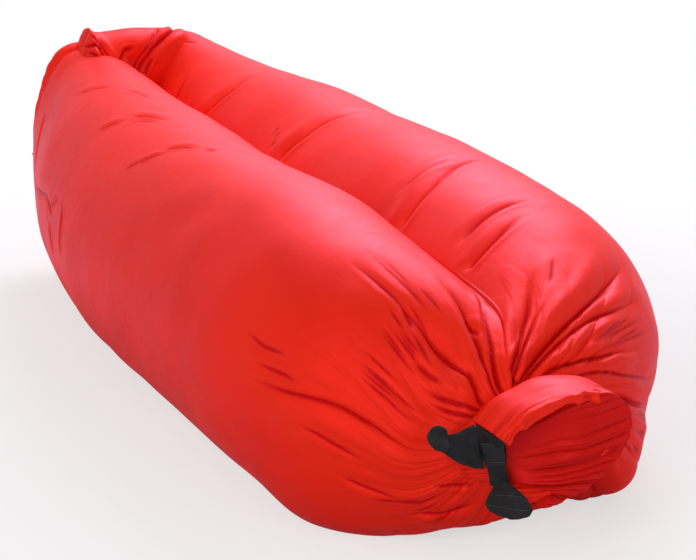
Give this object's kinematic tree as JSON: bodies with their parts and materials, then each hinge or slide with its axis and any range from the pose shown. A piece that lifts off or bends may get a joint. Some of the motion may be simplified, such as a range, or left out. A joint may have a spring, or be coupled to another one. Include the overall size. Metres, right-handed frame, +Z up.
{
  "type": "inflatable lounger",
  "caption": "Two-chamber inflatable lounger with a cross pillow at the head and a rolled mouth held in a hoop by a webbing strap with a side-release buckle.",
  "frame": {"origin": "on the ground, at the middle of the bounding box", "axes": "+Z up, +Y along the lounger towards the head pillow, -Y towards the rolled mouth, -X the side where the strap closes the hoop"},
  "size_m": [0.7806, 1.9118, 0.51],
  "materials": {
    "shell_cloth": "thin coated nylon ripstop, satin, bright red",
    "liner_film": "clear polyethylene film, milky",
    "binding_tape": "folded woven tape, dark red",
    "pillow_cloth": "thin coated nylon ripstop, satin, bright red",
    "collar_cloth": "gathered nylon ripstop, satin, bright red",
    "roll_cloth": "rolled nylon ripstop, satin, crumpled, bright red",
    "stiffener_plastic": "bare plastic strip",
    "face_cloth": "pleated nylon ripstop in shade, deep red",
    "black_webbing": "woven webbing, matt black",
    "moulded_black": "injection-moulded, satin black"
  },
  "bodies": {
    "lounger": {"shell_left": "shell_cloth", "shell_right": "shell_cloth", "liner_left": "liner_film", "liner_right": "liner_film", "seam_web": "binding_tape", "head_pillow": "pillow_cloth", "head_binding": "binding_tape", "neck_collar": "collar_cloth"},
    "closure": {"mouth_roll": "roll_cloth", "mouth_stiffener": "stiffener_plastic", "mouth_face": "face_cloth", "anchor_upper": "black_webbing", "anchor_lower": "black_webbing", "strap_upper": "black_webbing", "strap_lower": "black_webbing", "buckle_socket": "moulded_black"},
    "plug": {"buckle_plug": "moulded_black"},
    "prong_front": {"plug_prong_front": "moulded_black"},
    "prong_back": {"plug_prong_back": "moulded_black"},
    "tail": {"strap_tail": "black_webbing", "tail_tip": "black_webbing"}
  },
  "joints": [
    {"name": "closure_nod", "type": "hinge", "parent": "lounger", "child": "closure", "pos_m": [0, -0.8244, 0.29], "axis": [-1, 0, 0], "range_deg": [0, 15], "deforming": ["neck_collar"]},
    {"name": "buckle_release", "type": "slide", "parent": "closure", "child": "plug", "axis": [0.1649, 0, -0.9863], "range_m": [0, 0.022], "deforming": ["strap_lower", "plug_prong_front", "plug_prong_back"]},
    {"name": "prong_front_press", "type": "hinge", "parent": "plug", "child": "prong_front", "pos_m": [-0.0937, -0.91278, 0.18958], "axis": [-0.634, -0.766, -0.106], "range_deg": [0, 8], "stiffness_Nm_per_rad": 0.5},
    {"name": "prong_back_press", "type": "hinge", "parent": "plug", "child": "prong_back", "pos_m": [-0.11198, -0.89722, 0.18652], "axis": [0.634, 0.766, 0.106], "range_deg": [0, 8], "stiffness_Nm_per_rad": 0.5},
    {"name": "tail_lift", "type": "hinge", "parent": "closure", "child": "tail", "pos_m": [-0.12461, -0.89905, 0.21214], "axis": [0, 0.6157, 0.788], "range_deg": [0, 70]}
  ]
}
